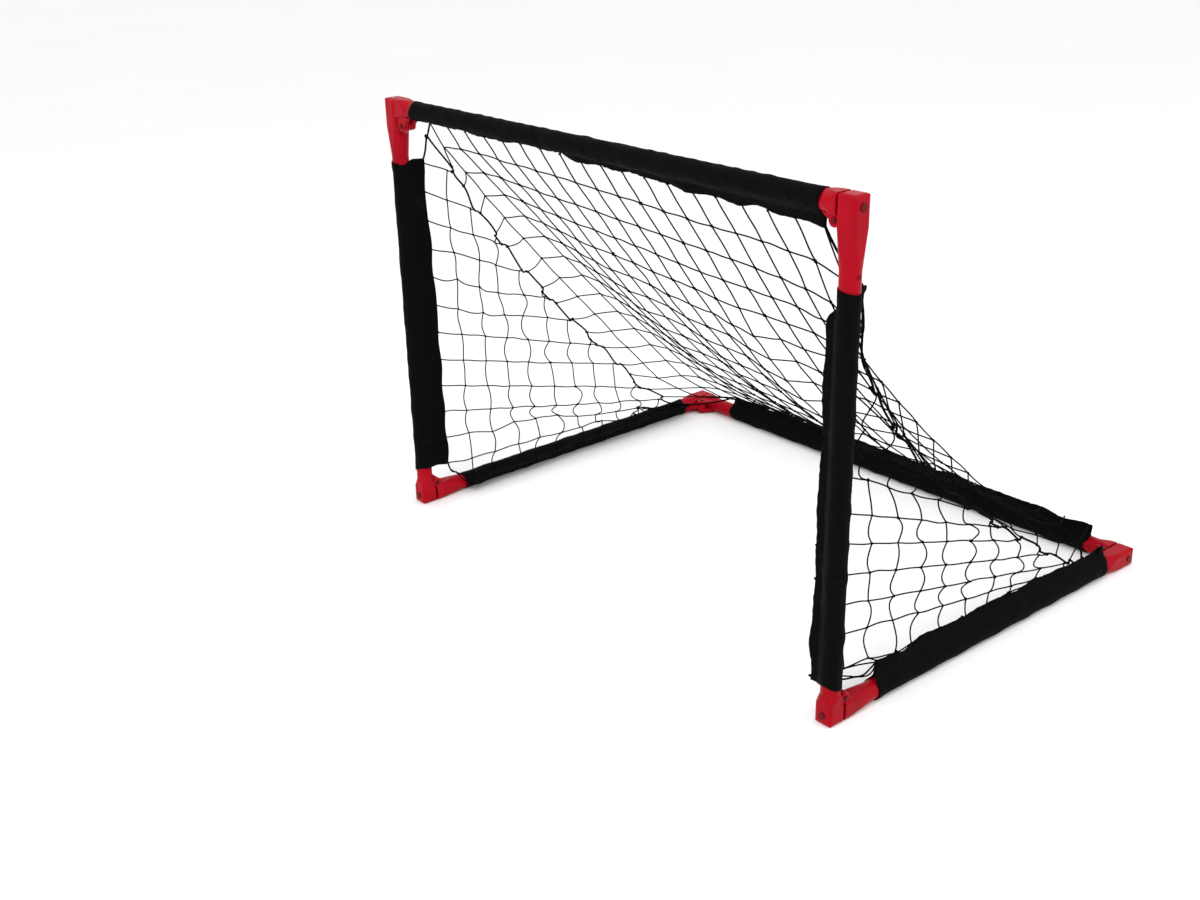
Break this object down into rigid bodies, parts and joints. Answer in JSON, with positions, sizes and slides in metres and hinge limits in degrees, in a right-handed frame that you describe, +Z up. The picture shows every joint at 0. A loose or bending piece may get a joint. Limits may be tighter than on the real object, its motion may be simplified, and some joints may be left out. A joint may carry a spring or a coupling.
{
  "type": "folding goal net",
  "caption": "Folding practice goal: sleeved bars on hinged corner fittings, with a knotted net that sags between the top bar and the back bar behind an open mouth.",
  "frame": {"origin": "centre of the footprint, on the surface the goal stands on", "axes": "+X to the goal's right seen from in front, +Y from the mouth to the back, +Z up"},
  "size_m": [1.274, 0.916, 0.914],
  "materials": {
    "fitting_plastic": "moulded red plastic, satin gloss",
    "sleeve_fabric": "black woven polyester sleeve",
    "tube_plastic": "dark extruded tube",
    "net_cord": "black knotted polyester cord",
    "steel": "steel painted dark red"
  },
  "bodies": {
    "back_bar": {"back_tube": "tube_plastic", "back_sleeve": "sleeve_fabric", "back_left_fitting": "fitting_plastic", "back_right_fitting": "fitting_plastic", "back_left_pin": "steel", "back_right_pin": "steel", "back_pin_nuts": "steel", "back_rivets": "steel", "roof_net": "net_cord", "left_seam_cord": "net_cord", "right_seam_cord": "net_cord"},
    "top_bar": {"top_tube": "tube_plastic", "top_sleeve": "sleeve_fabric", "top_left_fitting": "fitting_plastic", "top_right_fitting": "fitting_plastic", "top_left_pin": "steel", "top_right_pin": "steel", "top_pin_nuts": "steel", "top_rivets": "steel"},
    "left_post": {"left_post_tube": "tube_plastic", "left_post_sleeve": "sleeve_fabric", "left_post_head": "fitting_plastic", "left_post_foot": "fitting_plastic", "left_post_cap_screws": "steel", "left_post_rivets": "steel"},
    "right_post": {"right_post_tube": "tube_plastic", "right_post_sleeve": "sleeve_fabric", "right_post_head": "fitting_plastic", "right_post_foot": "fitting_plastic", "right_post_cap_screws": "steel", "right_post_rivets": "steel"},
    "left_side": {"left_side_tube": "tube_plastic", "left_side_sleeve": "sleeve_fabric", "left_side_front_fitting": "fitting_plastic", "left_side_rear_fitting": "fitting_plastic", "left_side_pin": "steel", "left_side_pin_nut": "steel", "left_side_cap_screw": "steel", "left_side_rivets": "steel", "left_net": "net_cord"},
    "right_side": {"right_side_tube": "tube_plastic", "right_side_sleeve": "sleeve_fabric", "right_side_front_fitting": "fitting_plastic", "right_side_rear_fitting": "fitting_plastic", "right_side_pin": "steel", "right_side_pin_nut": "steel", "right_side_cap_screw": "steel", "right_side_rivets": "steel", "right_net": "net_cord"}
  },
  "joints": [
    {"name": "base_fold", "type": "hinge", "parent": "back_bar", "child": "top_bar", "pos_m": [0, -0.413, 0.043], "axis": [-1, 0, 0], "range_deg": [0, 90], "deforming": ["roof_net", "left_net", "right_net", "left_seam_cord", "right_seam_cord", "back_sleeve", "top_sleeve", "left_post_sleeve", "right_post_sleeve", "left_side_sleeve", "right_side_sleeve"]},
    {"name": "left_leg_fold", "type": "hinge", "parent": "top_bar", "child": "left_post", "pos_m": [-0.582, -0.437, 0.861], "axis": [0, -1, 0], "range_deg": [0, 86]},
    {"name": "left_side_fold", "type": "hinge", "parent": "back_bar", "child": "left_side", "pos_m": [-0.582, 0.405, 0.019], "axis": [0, 0, 1], "range_deg": [0, 86], "deforming": ["left_net", "left_seam_cord"]},
    {"name": "right_leg_fold", "type": "hinge", "parent": "top_bar", "child": "right_post", "pos_m": [0.592, -0.437, 0.871], "axis": [0, 1, 0], "range_deg": [0, 90]},
    {"name": "right_side_fold", "type": "hinge", "parent": "back_bar", "child": "right_side", "pos_m": [0.592, 0.415, 0.019], "axis": [0, 0, -1], "range_deg": [0, 90], "deforming": ["right_net", "right_seam_cord"]}
  ],
  "couplings": [
    {"joint": "left_side_fold", "follows": "left_leg_fold", "ratio": 1},
    {"joint": "right_side_fold", "follows": "right_leg_fold", "ratio": 1}
  ]
}
